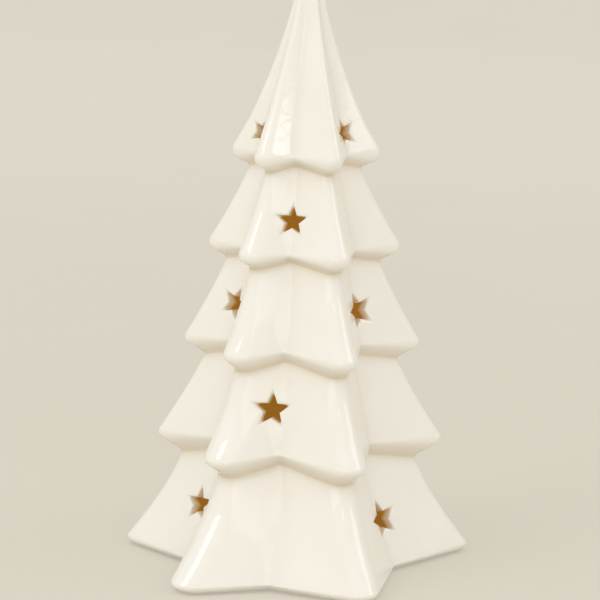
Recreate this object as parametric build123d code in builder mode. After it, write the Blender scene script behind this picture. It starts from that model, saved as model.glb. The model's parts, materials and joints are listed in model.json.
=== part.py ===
from build123d import *

import os
from collections import namedtuple
from math import cos, pi, radians, sin, tan

# Hollow glazed ceramic fir tree with star cut-outs, lit by a battery light unit that plugs into its base.
# It stands on z = 0 with its trunk along the Z axis and its front towards -Y. Sizes are in millimetres.

# Star outline: five ridges with five valleys between them, as bearings in degrees from +X
RIDGE_BEARINGS = (22, 99, 175, 236, 305)
RIDGE_SHARES = (1.088, 1.018, 1.018, 0.965, 0.949)  # each ridge's reach against its tier's, as if cut by hand
FOOT_STRETCHES = (0.0, 0.0, 0.0, 3.4, 0.0)  # how much further each ridge runs out at the foot
VALLEY_BEARINGS = (60, 137, 205, 266, 347)
RIDGE_ROUNDS = (4.0, 4.0, 4.0, 7.0, 7.0)  # the two front ridges are softer
ROUND_LIMIT = 0.15  # largest ridge rounding as a share of the reach, which keeps the tip's ridges apart

# Tiers from the top down. Reach runs from the trunk axis to a ridge before it is rounded.
# Lift is how much higher a valley sits than the ridges beside it.
TREE_HEIGHT = 206.0
TIP_REACH = 3.3
TIP_DROP = 3.0  # height of the rounded tip
TIP_TURN = 45  # degrees up its rounding where a ring is set
RIM_REACHES = (26.6, 34.0, 42.0, 50.3, 59.9)
RIM_HEIGHTS = (138.0, 106.6, 73.6, 40.1, 2.8)
RIM_LIFTS = (0.7, 1.1, 2.9, 3.4, 0.0)
RIM_ROUNDS = (2.4, 2.4, 2.4, 2.4, 1.4)
RIM_CRISPNESS = 0.5  # the rim's rounding in a valley as a share of that on a ridge
RIM_TURN_ABOVE = 30  # degrees of the rim's rounding above its widest line, and below it
RIM_TURN_BELOW = 55
NECK_INSETS = (5.8, 6.3, 7.6, 8.9)  # from each rim in and down to the tier below
NECK_DROPS = (5.3, 4.9, 5.3, 6.2)
NECK_LIFTS = (3.2, 3.5, 5.0, 6.2)
RIM_VALLEYS = (0.60, 0.58, 0.55, 0.55, 0.64)  # a valley's distance from the axis against the reach
NECK_VALLEY = 0.60
TIP_VALLEY = 0.66
FLARES = (1.43, 1.1, 1.1, 1.1, 1.3)  # how hollow each tier's side is: 1 would be straight
FLARE_STEPS = 4

# Ceramic wall, floor and light socket
WALL = 4.2
CAVITY_SHARE = 0.7  # how far up the top tier the full cavity goes, as a share of the way down from the tip
CAVITY_PEAK = 12.0
FLOOR_THICKNESS = 8.0
FOOT_INSET = 1.2  # the rounded lower edge of the foot
SOCKET_GAP = 1.0  # between the socket and the light unit's cup
RECESS_GAP = 0.6  # between the recess and the light unit's plate
RECESS_DEPTH = 3.2

# Star cut-outs: tier, valley, height above the rim, sideways shift and tip radius
BACK_RIGHT, BACK_LEFT, LEFT, FRONT, RIGHT = range(len(VALLEY_BEARINGS))
STARS = (
    (0, LEFT, 8.5, -0.5, 5.0),
    (0, RIGHT, 8.5, 0.5, 5.0),
    (1, FRONT, 11.7, 0.0, 5.0),
    (1, BACK_LEFT, 12.0, 0.0, 5.0),
    (1, BACK_RIGHT, 12.0, 0.0, 5.0),
    (2, LEFT, 15.5, -1.0, 5.7),
    (2, RIGHT, 15.5, 1.0, 5.7),
    (3, FRONT, 17.3, -3.2, 5.8),
    (3, BACK_LEFT, 17.5, 0.0, 5.8),
    (3, BACK_RIGHT, 17.5, 0.0, 5.8),
    (4, LEFT, 17.0, -1.5, 6.2),
    (4, RIGHT, 14.8, 1.0, 6.2),
)
STAR_TURNS = {LEFT: 20, RIGHT: -20}  # degrees that the side valleys' cuts turn towards the front
STAR_POINTS = 5
STAR_WAIST = 0.42  # inner corners against the tips
STAR_DRAFT = 0.18  # how much the tip radius grows for each millimetre outwards
STAR_TILT = 12  # degrees that each cut points up, towards square with the flared side
STAR_DEPTH = 9.0  # how far each cut reaches in from the side, and out from it
STAR_LEAD = 6.0

# Felt under the foot
FELT_THICKNESS = 1.0
FELT_INSET = 4.2
FELT_HOLE_MARGIN = 0.6

# Light unit: base plate
PLATE_FLANGE = 3.0  # how far the plate laps over the socket's edge
PLATE_THICKNESS = 2.8
FINGER_NOTCH_RADIUS = 3.0
FINGER_NOTCH_DEPTH = 1.2

# Light unit: housing cup and its screws
CUP_ROOM = 2.4  # between the cell well and the cup's wall
CUP_WALL = 1.5
CUP_HEIGHT = 18.6
CUP_ROUND = 1.0
BOSS_EDGE = 3.9  # from the cup's wall in to each boss's axis
BOSS_RADIUS = 3.0
BOSS_NECK_RADIUS = 2.1
SCREW_RADIUS = 1.0
SCREW_LENGTH = 8.0
SCREW_HEAD_RADIUS = 1.9
SCREW_HEAD_HEIGHT = 1.2
SCREW_SLOT_WIDTH = 0.5
SCREW_SLOT_DEPTH = 0.6
SCREW_CLEARANCE = 0.1

# Light unit: grip ring in a groove round the cup
RING_HEIGHT = 2.4
RING_FOOT = 1.2  # from the plate up to the groove
RING_DEPTH = 0.6  # groove depth in the cup
RING_ROUND = 0.3
FIT_CLEARANCE = 0.05

# Light unit: diffuser dome
DOME_RADIUS = 8.5
DOME_WALL = 1.0
DOME_LIP = 1.7
DOME_LIP_HEIGHT = 1.2
DOME_SIDE = 4.0

# Light unit: circuit board, LED, resistor
BOARD_GAP = 0.7  # between the board and the cup's wall
BOARD_THICKNESS = 1.2
BOARD_RISE = 5.8  # from the plate's top up to the board
LED_RADIUS = 2.5
LED_FLANGE_RADIUS = 2.9
LED_FLANGE_HEIGHT = 1.0
LED_HEIGHT = 8.6
LED_STAND = 0.5
LEAD_RADIUS = 0.25
LEAD_SPREAD = 1.27
LEAD_TAIL = 0.8
LEAD_CLEARANCE = 0.1
RESISTOR_GAP = 3.4  # from the cell well's side out to the resistor's middle
RESISTOR_Y = 8.0
RESISTOR_RADIUS = 0.9
RESISTOR_LENGTH = 3.8
RESISTOR_SPREAD = 3.6  # each leg's distance from the middle
RESISTOR_STAND = 0.2
RESISTOR_ROUND = 0.3

# Light unit: slide switch
SWITCH_GAP = 3.7  # from the cell well's side out to the switch
SWITCH_LENGTH = 8.7
SWITCH_WIDTH = 4.4
SWITCH_HEIGHT = 4.6
SWITCH_CASE = 0.6
SWITCH_TRAVEL = 2.5
SLIDER_LENGTH = 4.0
SLIDER_WIDTH = 2.6
SLIDER_THICKNESS = 1.4
KNOB_LENGTH = 2.0
KNOB_WIDTH = 2.0
KNOB_PROUD = 0.4  # how far the knob stands out of the plate
KNOB_RIBS = 3
KNOB_RIB_DEPTH = 0.2
SLIDER_CLEARANCE = 0.15
PIN_RADIUS = 0.35
PIN_PITCH = 2.5
PIN_COUNT = 3

# Light unit: coin cell, its well and contacts
CELL_SHIFT = 4.5  # from the axis towards -X, which leaves room for the switch
CELL_RADIUS = 10.0
CELL_THICKNESS = 3.2
CELL_RIM = 1.2
CELL_STEP = 0.4
CELL_CLEARANCE = 0.4
WELL_WALL = 1.2
CONTACT_THICKNESS = 0.3
CONTACT_WIDTH = 4.0
CONTACT_CLEARANCE = 0.1
SPRING_FOOT = 3.0
SPRING_TOE = 3.0
SPRING_TOE_RISE = 0.6
CLIP_FOOT = 3.0
CLIP_SLOT_LENGTH = 4.8
CLIP_SLOT_MARGIN = 0.4

# Light unit: battery door, hinged along its -X edge
DOOR_LENGTH = 21.6
DOOR_WIDTH = 21.2
DOOR_THICKNESS = 1.6
DOOR_GAP = 0.3
DOOR_SEAT_GAP = 0.1
DOOR_RIBS = 4
DOOR_RIB_WIDTH = 0.8
DOOR_RIB_DEPTH = 0.3
DOOR_RIB_LENGTH = 9.0
HINGE_PIN_RADIUS = 0.5
HINGE_PIN_LENGTH = 1.6

# Heights and places that follow from the sizes above
last_tier = len(RIM_REACHES) - 1
ceramic_foot = FELT_THICKNESS
cavity_floor = ceramic_foot + FLOOR_THICKNESS
plate_top = ceramic_foot + RECESS_DEPTH
plate_bottom = plate_top - PLATE_THICKNESS
cup_top = plate_top + CUP_HEIGHT
board_bottom = plate_top + BOARD_RISE
board_top = board_bottom + BOARD_THICKNESS
led_bottom = board_top + LED_STAND
door_recess_depth = DOOR_THICKNESS + DOOR_SEAT_GAP + DOOR_SEAT_GAP
door_bottom = plate_bottom + DOOR_SEAT_GAP
door_top = door_bottom + DOOR_THICKNESS
cell_bottom = door_top + DOOR_GAP
cell_top = cell_bottom + CELL_THICKNESS
hinge_height = (door_bottom + door_top) / 2
cell_x = -CELL_SHIFT
well_radius = CELL_RADIUS + CELL_CLEARANCE
well_side = cell_x + well_radius + WELL_WALL
cup_inner = CELL_SHIFT + well_radius + WELL_WALL + CUP_ROOM
cup_radius = cup_inner + CUP_WALL
socket_radius = cup_radius + SOCKET_GAP
plate_radius = socket_radius + PLATE_FLANGE
recess_radius = plate_radius + RECESS_GAP
board_radius = cup_inner - BOARD_GAP
boss_spread = cup_inner - BOSS_EDGE
switch_x = well_side + SWITCH_GAP + SWITCH_WIDTH / 2
resistor_x = well_side + RESISTOR_GAP
hinge_x = cell_x - DOOR_LENGTH / 2 + DOOR_THICKNESS / 2
boss_spots = ((0, boss_spread), (0, -boss_spread))
lead_spots = ((LEAD_SPREAD, 0), (-LEAD_SPREAD, 0))

os.makedirs("parts", exist_ok=True)


def finish(builder, label):
    """Name a finished piece and write it out."""
    builder.part.label = label
    export_step(builder.part, f"parts/{label}.step")


# Rings of the tree: where the ridges and valleys of one closed star outline lie
Ring = namedtuple("Ring", "ridge ridge_height valley valley_height stretch", defaults=(0.0,))


def blend(start, end, share):
    return start + (end - start) * share


def rim(tier):
    """The widest ring of a tier."""
    reach = RIM_REACHES[tier]
    height = RIM_HEIGHTS[tier]
    stretch = 1.0 if tier == last_tier else 0.0
    return Ring(reach, height, reach * RIM_VALLEYS[tier], height + RIM_LIFTS[tier], stretch)


def rim_turn(tier, degrees):
    """A ring on the rounded edge of a tier, that many degrees above the widest line."""
    edge = rim(tier)
    inset = RIM_ROUNDS[tier] * (1 - cos(radians(degrees)))
    rise = RIM_ROUNDS[tier] * sin(radians(degrees))
    return Ring(
        edge.ridge - inset,
        edge.ridge_height + rise,
        edge.valley - inset * RIM_CRISPNESS,
        edge.valley_height + rise * RIM_CRISPNESS,
        edge.stretch,
    )


def neck(tier):
    """The ring where a tier's underside meets the tier below."""
    reach = RIM_REACHES[tier] - NECK_INSETS[tier]
    height = RIM_HEIGHTS[tier] - NECK_DROPS[tier]
    return Ring(reach, height, reach * NECK_VALLEY, height + NECK_LIFTS[tier])


def tier_top(tier):
    """The ring that a tier's flared side starts from."""
    if tier > 0:
        return neck(tier - 1)
    shoulder = TREE_HEIGHT - TIP_DROP
    return Ring(TIP_REACH, shoulder, TIP_REACH * TIP_VALLEY, shoulder)


def flare(tier, share):
    """A ring on a tier's hollow side, at a share of the way down to its rim."""
    top = tier_top(tier)
    edge = rim_turn(tier, RIM_TURN_ABOVE)
    spread = share ** FLARES[tier]
    return Ring(
        blend(top.ridge, edge.ridge, spread),
        blend(top.ridge_height, edge.ridge_height, share),
        blend(top.valley, edge.valley, spread),
        blend(top.valley_height, edge.valley_height, share),
        blend(top.stretch, edge.stretch, spread),
    )


def level_ring(ring, height):
    """The same outline laid flat at one height."""
    return Ring(ring.ridge, height, ring.valley, height, ring.stretch)


def polar(reach, bearing, height):
    return Vector(reach * cos(radians(bearing)), reach * sin(radians(bearing)), height)


def corners(ring):
    """The ring's ten corners, ridge and valley in turn."""
    points = []
    for index, valley_bearing in enumerate(VALLEY_BEARINGS):
        reach = ring.ridge * RIDGE_SHARES[index] + ring.stretch * FOOT_STRETCHES[index]
        points.append(polar(reach, RIDGE_BEARINGS[index], ring.ridge_height))
        points.append(polar(ring.valley, valley_bearing, ring.valley_height))
    return points


def inset_corners(points, distance):
    """The corners moved in so that each side of the outline shifts by the distance, at the same heights."""
    moved = []
    for index, point in enumerate(points):
        before = points[index - 1]
        after = points[(index + 1) % len(points)]
        normals = []
        for start, end in ((before, point), (point, after)):
            side = Vector(end.X - start.X, end.Y - start.Y, 0).normalized()
            normals.append(Vector(-side.Y, side.X, 0))
        inward = (normals[0] + normals[1]) / (1 + normals[0].dot(normals[1]))
        moved.append(point + inward * distance)
    return moved


def outline(ring):
    """Closed wire of a ring with its ridges rounded."""
    points = corners(ring)
    count = len(points)
    arcs = []
    for index in range(0, count, 2):
        point = points[index]
        radius = min(RIDGE_ROUNDS[index // 2], ROUND_LIMIT * ring.ridge)
        back = (points[index - 1] - point).normalized()
        ahead = (points[index + 1] - point).normalized()
        half = radians(back.get_angle(ahead)) / 2
        middle = (back + ahead).normalized() * (radius / sin(half) - radius)
        trim = radius / tan(half)
        arcs.append((point + back * trim, point + middle, point + ahead * trim))
    with BuildLine() as wire:
        for index, (start, middle, end) in enumerate(arcs):
            valley = points[2 * index + 1]
            following = arcs[(index + 1) % len(arcs)][0]
            ThreePointArc(start, middle, end)
            Line(end, valley)
            Line(valley, following)
    return wire.wire()


def inner_outline(ring):
    """Closed wire of the cavity, one wall inside a ring."""
    with BuildLine() as wire:
        Polyline(*inset_corners(corners(ring), WALL), close=True)
    return wire.wire()


def star_corners(tip):
    """An upright five-pointed star."""
    points = []
    for step in range(2 * STAR_POINTS):
        radius = tip if step % 2 == 0 else tip * STAR_WAIST
        angle = pi / 2 + step * pi / STAR_POINTS
        points.append((radius * cos(angle), radius * sin(angle)))
    return points


def star_plane(tier, valley, rise, shift):
    """Plane on a tier's side at a star's middle, facing the way that the star was cut from."""
    top = tier_top(tier)
    edge = rim_turn(tier, RIM_TURN_ABOVE)
    height = RIM_HEIGHTS[tier] + rise
    share = (top.valley_height - height) / (top.valley_height - edge.valley_height)
    bearing = VALLEY_BEARINGS[valley] + STAR_TURNS.get(valley, 0)
    side = polar(1, bearing + 90, 0)
    outward = polar(cos(radians(STAR_TILT)), bearing, sin(radians(STAR_TILT)))
    middle = polar(flare(tier, share).valley, VALLEY_BEARINGS[valley], height) + side * shift
    return Plane(origin=middle, x_dir=side, z_dir=outward)


# Tree shell: outer skin ring by ring from the foot to the tip, and the cavity inside it
foot_edge = rim(last_tier)
foot_ring = level_ring(
    foot_edge._replace(ridge=foot_edge.ridge - FOOT_INSET, valley=foot_edge.valley - FOOT_INSET), ceramic_foot
)
skin = [outline(foot_ring)]
for tier in range(last_tier, -1, -1):
    skin.append(outline(rim_turn(tier, -RIM_TURN_BELOW)))
    skin.append(outline(rim(tier)))
    for step in range(FLARE_STEPS, -1, -1):
        skin.append(outline(flare(tier, step / FLARE_STEPS)))
shoulder = tier_top(0)
tip_share = cos(radians(TIP_TURN))
tip_height = shoulder.ridge_height + TIP_DROP * sin(radians(TIP_TURN))
skin.append(outline(Ring(shoulder.ridge * tip_share, tip_height, shoulder.valley * tip_share, tip_height)))
tree_body = Solid.make_loft(skin, ruled=True)
tip_cap = Solid.make_loft([skin[-1], Vertex(0, 0, TREE_HEIGHT)], ruled=True)

floor_share = (neck(last_tier - 1).ridge_height - cavity_floor) / (
    neck(last_tier - 1).ridge_height - rim_turn(last_tier, RIM_TURN_ABOVE).ridge_height
)
hollow = [inner_outline(level_ring(flare(last_tier, floor_share), cavity_floor))]
hollow.append(inner_outline(flare(last_tier, floor_share / 2)))
for tier in range(last_tier - 1, -1, -1):
    hollow.append(inner_outline(neck(tier)))
    hollow.append(inner_outline(rim(tier)))
shoulder_ring = flare(0, CAVITY_SHARE)
hollow.append(inner_outline(level_ring(shoulder_ring, shoulder_ring.ridge_height)))
peak = Vertex(0, 0, shoulder_ring.ridge_height + CAVITY_PEAK)
cavity = Solid.make_loft(hollow, ruled=True)
cavity_peak = Solid.make_loft([hollow[-1], peak], ruled=True)

with BuildPart() as star_cuts:
    for tier, valley, rise, shift, tip in STARS:
        mouth = star_plane(tier, valley, rise, shift)
        with BuildSketch(mouth.offset(-STAR_DEPTH)):
            Polygon(*star_corners(tip - STAR_DRAFT * STAR_DEPTH), align=None)
        with BuildSketch(mouth.offset(STAR_LEAD)):
            Polygon(*star_corners(tip + STAR_DRAFT * STAR_LEAD), align=None)
        loft(ruled=True)

with BuildPart() as tree_shell:
    add(tree_body)
    add(tip_cap)
    add(cavity, mode=Mode.SUBTRACT)
    add(cavity_peak, mode=Mode.SUBTRACT)
    add(star_cuts.part, mode=Mode.SUBTRACT)
    with BuildSketch(Plane.XY.offset(ceramic_foot)):
        Circle(socket_radius)
    extrude(amount=FLOOR_THICKNESS, mode=Mode.SUBTRACT)
    with BuildSketch(Plane.XY.offset(ceramic_foot)):
        Circle(recess_radius)
    extrude(amount=RECESS_DEPTH, mode=Mode.SUBTRACT)
finish(tree_shell, "tree_shell")

# Felt sheet under the foot, cut to the star outline with room for the light unit
felt_outline = inset_corners(corners(level_ring(foot_ring, 0)), FELT_INSET)
with BuildPart() as felt_base:
    with BuildSketch():
        Polygon(*[(point.X, point.Y) for point in felt_outline], align=None)
        Circle(recess_radius + FELT_HOLE_MARGIN, mode=Mode.SUBTRACT)
    extrude(amount=FELT_THICKNESS)
finish(felt_base, "felt_base")

# Base plate: closes the socket, holds the cell well, the door recess and the switch slot
slot_length = KNOB_LENGTH + SWITCH_TRAVEL + 2 * DOOR_GAP
well_height = board_bottom - plate_top
with BuildPart() as base_plate:
    with BuildSketch(Plane.XY.offset(plate_bottom)):
        Circle(plate_radius)
    extrude(amount=PLATE_THICKNESS)
    with BuildSketch(Plane.XY.offset(plate_top)):
        with Locations((cell_x, 0)):
            Circle(well_radius + WELL_WALL)
    extrude(amount=well_height)
    with BuildSketch(Plane.XY.offset(plate_bottom)):
        with Locations((cell_x, 0)):
            Circle(well_radius)
    extrude(amount=PLATE_THICKNESS + well_height, mode=Mode.SUBTRACT)
    with BuildSketch(Plane.XY.offset(plate_bottom)):
        with Locations((cell_x, 0)):
            Rectangle(DOOR_LENGTH + 2 * DOOR_GAP, DOOR_WIDTH + 2 * DOOR_GAP)
    extrude(amount=door_recess_depth, mode=Mode.SUBTRACT)
    # Slot in the well for the positive contact
    with BuildSketch(Plane.XY.offset(plate_top)):
        with Locations((cell_x + well_radius, 0)):
            Rectangle(CLIP_SLOT_LENGTH, CONTACT_WIDTH + 2 * CLIP_SLOT_MARGIN)
    extrude(amount=well_height, mode=Mode.SUBTRACT)
    # Slot for the switch knob
    with BuildSketch(Plane.XY.offset(plate_bottom)):
        with Locations((switch_x, 0)):
            Rectangle(KNOB_WIDTH + 2 * DOOR_GAP, slot_length)
    extrude(amount=PLATE_THICKNESS, mode=Mode.SUBTRACT)
    # Notch for a fingernail at the door's free edge
    with BuildSketch(Plane.XY.offset(plate_bottom)):
        with Locations((cell_x + DOOR_LENGTH / 2, 0)):
            Circle(FINGER_NOTCH_RADIUS)
    extrude(amount=FINGER_NOTCH_DEPTH, mode=Mode.SUBTRACT)
    # Holes for the hinge pins, across the door's -X edge
    pin_reach = DOOR_WIDTH / 2 + HINGE_PIN_LENGTH + DOOR_GAP
    with BuildSketch(Plane(origin=(hinge_x, -pin_reach, hinge_height), x_dir=(1, 0, 0), z_dir=(0, 1, 0))):
        Circle(HINGE_PIN_RADIUS + FIT_CLEARANCE)
    extrude(amount=2 * pin_reach, mode=Mode.SUBTRACT)
    # Counterbored seats for the housing screws
    with Locations(Plane(origin=(0, 0, plate_bottom), x_dir=(1, 0, 0), z_dir=(0, 0, -1))):
        with Locations(*boss_spots):
            CounterBoreHole(
                radius=SCREW_RADIUS + SCREW_CLEARANCE,
                counter_bore_radius=SCREW_HEAD_RADIUS + SCREW_CLEARANCE,
                counter_bore_depth=SCREW_HEAD_HEIGHT + SCREW_CLEARANCE,
                depth=PLATE_THICKNESS,
            )
finish(base_plate, "base_plate")

# Housing cup: open below, with a window for the dome and two screw bosses
ring_foot = plate_top + RING_FOOT
with BuildPart() as light_housing:
    with BuildSketch(Plane.XY.offset(plate_top)):
        Circle(cup_radius)
    extrude(amount=CUP_HEIGHT)
    fillet(light_housing.edges().group_by(Axis.Z)[-1], CUP_ROUND)
    with BuildSketch(Plane.XY.offset(plate_top)):
        Circle(cup_inner)
    extrude(amount=CUP_HEIGHT - CUP_WALL, mode=Mode.SUBTRACT)
    with BuildSketch(Plane.XY.offset(ring_foot)):
        Circle(cup_radius)
        Circle(cup_radius - RING_DEPTH, mode=Mode.SUBTRACT)
    extrude(amount=RING_HEIGHT, mode=Mode.SUBTRACT)
    with BuildSketch(Plane.XY.offset(cup_top - CUP_WALL)):
        Circle(DOME_RADIUS + FIT_CLEARANCE)
    extrude(amount=CUP_WALL, mode=Mode.SUBTRACT)
    with BuildSketch(Plane.XY.offset(board_top)):
        with Locations(*boss_spots):
            Circle(BOSS_RADIUS)
    extrude(amount=cup_top - CUP_WALL - board_top)
    with BuildSketch(Plane.XY.offset(plate_top)):
        with Locations(*boss_spots):
            Circle(BOSS_NECK_RADIUS)
    extrude(amount=board_top - plate_top)
    with BuildSketch(Plane.XY.offset(plate_top)):
        with Locations(*boss_spots):
            Circle(SCREW_RADIUS + FIT_CLEARANCE)
    extrude(amount=SCREW_LENGTH, mode=Mode.SUBTRACT)
finish(light_housing, "light_housing")

# Housing screws, slotted pan heads from below
head_bottom = plate_bottom + SCREW_CLEARANCE
with BuildPart() as housing_screws:
    with BuildSketch(Plane.XY.offset(head_bottom)):
        with Locations(*boss_spots):
            Circle(SCREW_HEAD_RADIUS)
    extrude(amount=SCREW_HEAD_HEIGHT)
    with BuildSketch(Plane.XY.offset(head_bottom)):
        with Locations(*boss_spots):
            Circle(SCREW_RADIUS)
    extrude(amount=SCREW_HEAD_HEIGHT + SCREW_LENGTH)
    with BuildSketch(Plane.XY.offset(head_bottom)):
        with Locations(*boss_spots):
            Rectangle(2 * SCREW_HEAD_RADIUS, SCREW_SLOT_WIDTH)
    extrude(amount=SCREW_SLOT_DEPTH, mode=Mode.SUBTRACT)
finish(housing_screws, "housing_screws")

# Grip ring: silicone band that holds the light unit in the socket
with BuildPart() as grip_ring:
    with BuildSketch(Plane.XY.offset(ring_foot + FIT_CLEARANCE)):
        Circle(socket_radius - FIT_CLEARANCE)
        Circle(cup_radius - RING_DEPTH + FIT_CLEARANCE, mode=Mode.SUBTRACT)
    extrude(amount=RING_HEIGHT - 2 * FIT_CLEARANCE)
    fillet(grip_ring.edges().filter_by(GeomType.CIRCLE).sort_by(SortBy.RADIUS)[-2:], RING_ROUND)
finish(grip_ring, "grip_ring")

# Diffuser dome: hollow frosted cap with a spigot in the cup's window and a lip on top
side_top = cup_top + DOME_LIP_HEIGHT + DOME_SIDE
inner_radius = DOME_RADIUS - DOME_WALL
with BuildPart() as diffuser_dome:
    with BuildSketch(Plane.XZ):
        with BuildLine():
            Polyline(
                (inner_radius, side_top),
                (inner_radius, cup_top - CUP_WALL),
                (DOME_RADIUS, cup_top - CUP_WALL),
                (DOME_RADIUS, cup_top),
                (DOME_RADIUS + DOME_LIP, cup_top),
                (DOME_RADIUS + DOME_LIP, cup_top + DOME_LIP_HEIGHT),
                (DOME_RADIUS, cup_top + DOME_LIP_HEIGHT),
                (DOME_RADIUS, side_top),
            )
            CenterArc((0, side_top), DOME_RADIUS, start_angle=0, arc_size=90)
            Line((0, side_top + DOME_RADIUS), (0, side_top + inner_radius))
            CenterArc((0, side_top), inner_radius, start_angle=0, arc_size=90)
        make_face()
    revolve(axis=Axis.Z)
finish(diffuser_dome, "diffuser_dome")

# LED: flanged epoxy body with a round lens, standing on the board
lens_start = led_bottom + LED_HEIGHT - LED_RADIUS
with BuildPart() as led:
    with BuildSketch(Plane.XZ):
        with BuildLine():
            Polyline(
                (0, lens_start + LED_RADIUS),
                (0, led_bottom),
                (LED_FLANGE_RADIUS, led_bottom),
                (LED_FLANGE_RADIUS, led_bottom + LED_FLANGE_HEIGHT),
                (LED_RADIUS, led_bottom + LED_FLANGE_HEIGHT),
                (LED_RADIUS, lens_start),
            )
            CenterArc((0, lens_start), LED_RADIUS, start_angle=0, arc_size=90)
        make_face()
    revolve(axis=Axis.Z)
finish(led, "led")

# LED leads, through the board
with BuildPart() as led_leads:
    with BuildSketch(Plane.XY.offset(board_bottom - LEAD_TAIL)):
        with Locations(*lead_spots):
            Circle(LEAD_RADIUS)
    extrude(amount=led_bottom - board_bottom + LEAD_TAIL)
finish(led_leads, "led_leads")

# Circuit board: clamped between the cell well and the shoulders of the bosses
resistor_legs = ((resistor_x - RESISTOR_SPREAD, RESISTOR_Y), (resistor_x + RESISTOR_SPREAD, RESISTOR_Y))
switch_pins = [(switch_x, PIN_PITCH * (step - (PIN_COUNT - 1) / 2)) for step in range(PIN_COUNT)]
with BuildPart() as circuit_board:
    with BuildSketch(Plane.XY.offset(board_bottom)):
        Circle(board_radius)
        with Locations(*boss_spots):
            Circle(BOSS_NECK_RADIUS + LEAD_CLEARANCE, mode=Mode.SUBTRACT)
        with Locations(*lead_spots, *resistor_legs):
            Circle(LEAD_RADIUS + LEAD_CLEARANCE, mode=Mode.SUBTRACT)
        with Locations(*switch_pins):
            Circle(PIN_RADIUS + LEAD_CLEARANCE, mode=Mode.SUBTRACT)
    extrude(amount=BOARD_THICKNESS)
finish(circuit_board, "circuit_board")

# Resistor: lies along X over the board, its legs bent down through it
resistor_axis = board_top + RESISTOR_STAND + RESISTOR_RADIUS
resistor_middle = Plane(origin=(resistor_x, RESISTOR_Y, resistor_axis), x_dir=(0, 1, 0), z_dir=(1, 0, 0))
with BuildPart() as resistor:
    with BuildSketch(resistor_middle):
        Circle(RESISTOR_RADIUS)
    extrude(amount=RESISTOR_LENGTH / 2, both=True)
    fillet(resistor.edges().filter_by(GeomType.CIRCLE), RESISTOR_ROUND)
    with BuildSketch(resistor_middle):
        Circle(LEAD_RADIUS)
    extrude(amount=RESISTOR_SPREAD + LEAD_RADIUS, both=True)
    with BuildSketch(Plane.XY.offset(board_bottom - LEAD_TAIL)):
        with Locations(*resistor_legs):
            Circle(LEAD_RADIUS)
    extrude(amount=resistor_axis - board_bottom + LEAD_TAIL)
finish(resistor, "resistor")

# Switch body: metal case soldered under the board, with a track for the slider
switch_bottom = board_bottom - SWITCH_HEIGHT
track_length = SLIDER_LENGTH + SWITCH_TRAVEL + 2 * SLIDER_CLEARANCE
track_bottom = switch_bottom + SWITCH_CASE
with BuildPart() as switch_body:
    with BuildSketch(Plane.XY.offset(switch_bottom)):
        with Locations((switch_x, 0)):
            Rectangle(SWITCH_WIDTH, SWITCH_LENGTH)
    extrude(amount=SWITCH_HEIGHT)
    with BuildSketch(Plane.XY.offset(track_bottom)):
        with Locations((switch_x, 0)):
            Rectangle(SLIDER_WIDTH + 2 * SLIDER_CLEARANCE, track_length)
    extrude(amount=SLIDER_THICKNESS + 2 * SLIDER_CLEARANCE, mode=Mode.SUBTRACT)
    with BuildSketch(Plane.XY.offset(switch_bottom)):
        with Locations((switch_x, 0)):
            Rectangle(KNOB_WIDTH + 2 * SLIDER_CLEARANCE, KNOB_LENGTH + SWITCH_TRAVEL + 2 * SLIDER_CLEARANCE)
    extrude(amount=SWITCH_CASE, mode=Mode.SUBTRACT)
    with BuildSketch(Plane.XY.offset(board_bottom)):
        with Locations(*switch_pins):
            Circle(PIN_RADIUS)
    extrude(amount=BOARD_THICKNESS + LEAD_TAIL)
finish(switch_body, "switch_body")

# Switch slider: tongue in the track and a ribbed knob through the plate, shown switched off
slider_y = -SWITCH_TRAVEL / 2
slider_bottom = track_bottom + SLIDER_CLEARANCE
knob_end = plate_bottom - KNOB_PROUD
rib_pitch = KNOB_LENGTH / KNOB_RIBS
with BuildPart() as switch_slider:
    with BuildSketch(Plane.XY.offset(slider_bottom)):
        with Locations((switch_x, slider_y)):
            Rectangle(SLIDER_WIDTH, SLIDER_LENGTH)
    extrude(amount=SLIDER_THICKNESS)
    with BuildSketch(Plane.XY.offset(knob_end)):
        with Locations((switch_x, slider_y)):
            Rectangle(KNOB_WIDTH, KNOB_LENGTH)
    extrude(amount=slider_bottom - knob_end)
    with BuildSketch(Plane.XY.offset(knob_end)):
        with Locations((switch_x, slider_y)):
            with GridLocations(0, rib_pitch, 1, KNOB_RIBS):
                Rectangle(KNOB_WIDTH, rib_pitch / 2)
    extrude(amount=KNOB_RIB_DEPTH, mode=Mode.SUBTRACT)
finish(switch_slider, "switch_slider")

# Coin cell: can with a smaller negative face on top
with BuildPart() as coin_cell:
    with BuildSketch(Plane.XY.offset(cell_bottom)):
        with Locations((cell_x, 0)):
            Circle(CELL_RADIUS)
    extrude(amount=CELL_THICKNESS - CELL_STEP)
    fillet(coin_cell.edges().filter_by(GeomType.CIRCLE), CELL_STEP)
    with BuildSketch(Plane.XY.offset(cell_bottom)):
        with Locations((cell_x, 0)):
            Circle(CELL_RADIUS - CELL_RIM)
    extrude(amount=CELL_THICKNESS)
finish(coin_cell, "coin_cell")

# Negative spring: bent leaf from the board down to the cell's top
half_strip = CONTACT_THICKNESS / 2
spring_start = cell_x - CELL_RADIUS + CONTACT_CLEARANCE
spring_low = cell_top + CONTACT_CLEARANCE + half_strip
with BuildPart() as negative_spring:
    with BuildSketch(Plane.XZ):
        with BuildLine() as spring_line:
            Polyline(
                (spring_start, board_bottom - half_strip),
                (spring_start + SPRING_FOOT, board_bottom - half_strip),
                (cell_x, spring_low),
                (cell_x + SPRING_TOE, spring_low + SPRING_TOE_RISE),
            )
        trace(spring_line.line, line_width=CONTACT_THICKNESS)
    extrude(amount=CONTACT_WIDTH / 2, both=True)
finish(negative_spring, "negative_spring")

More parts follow.
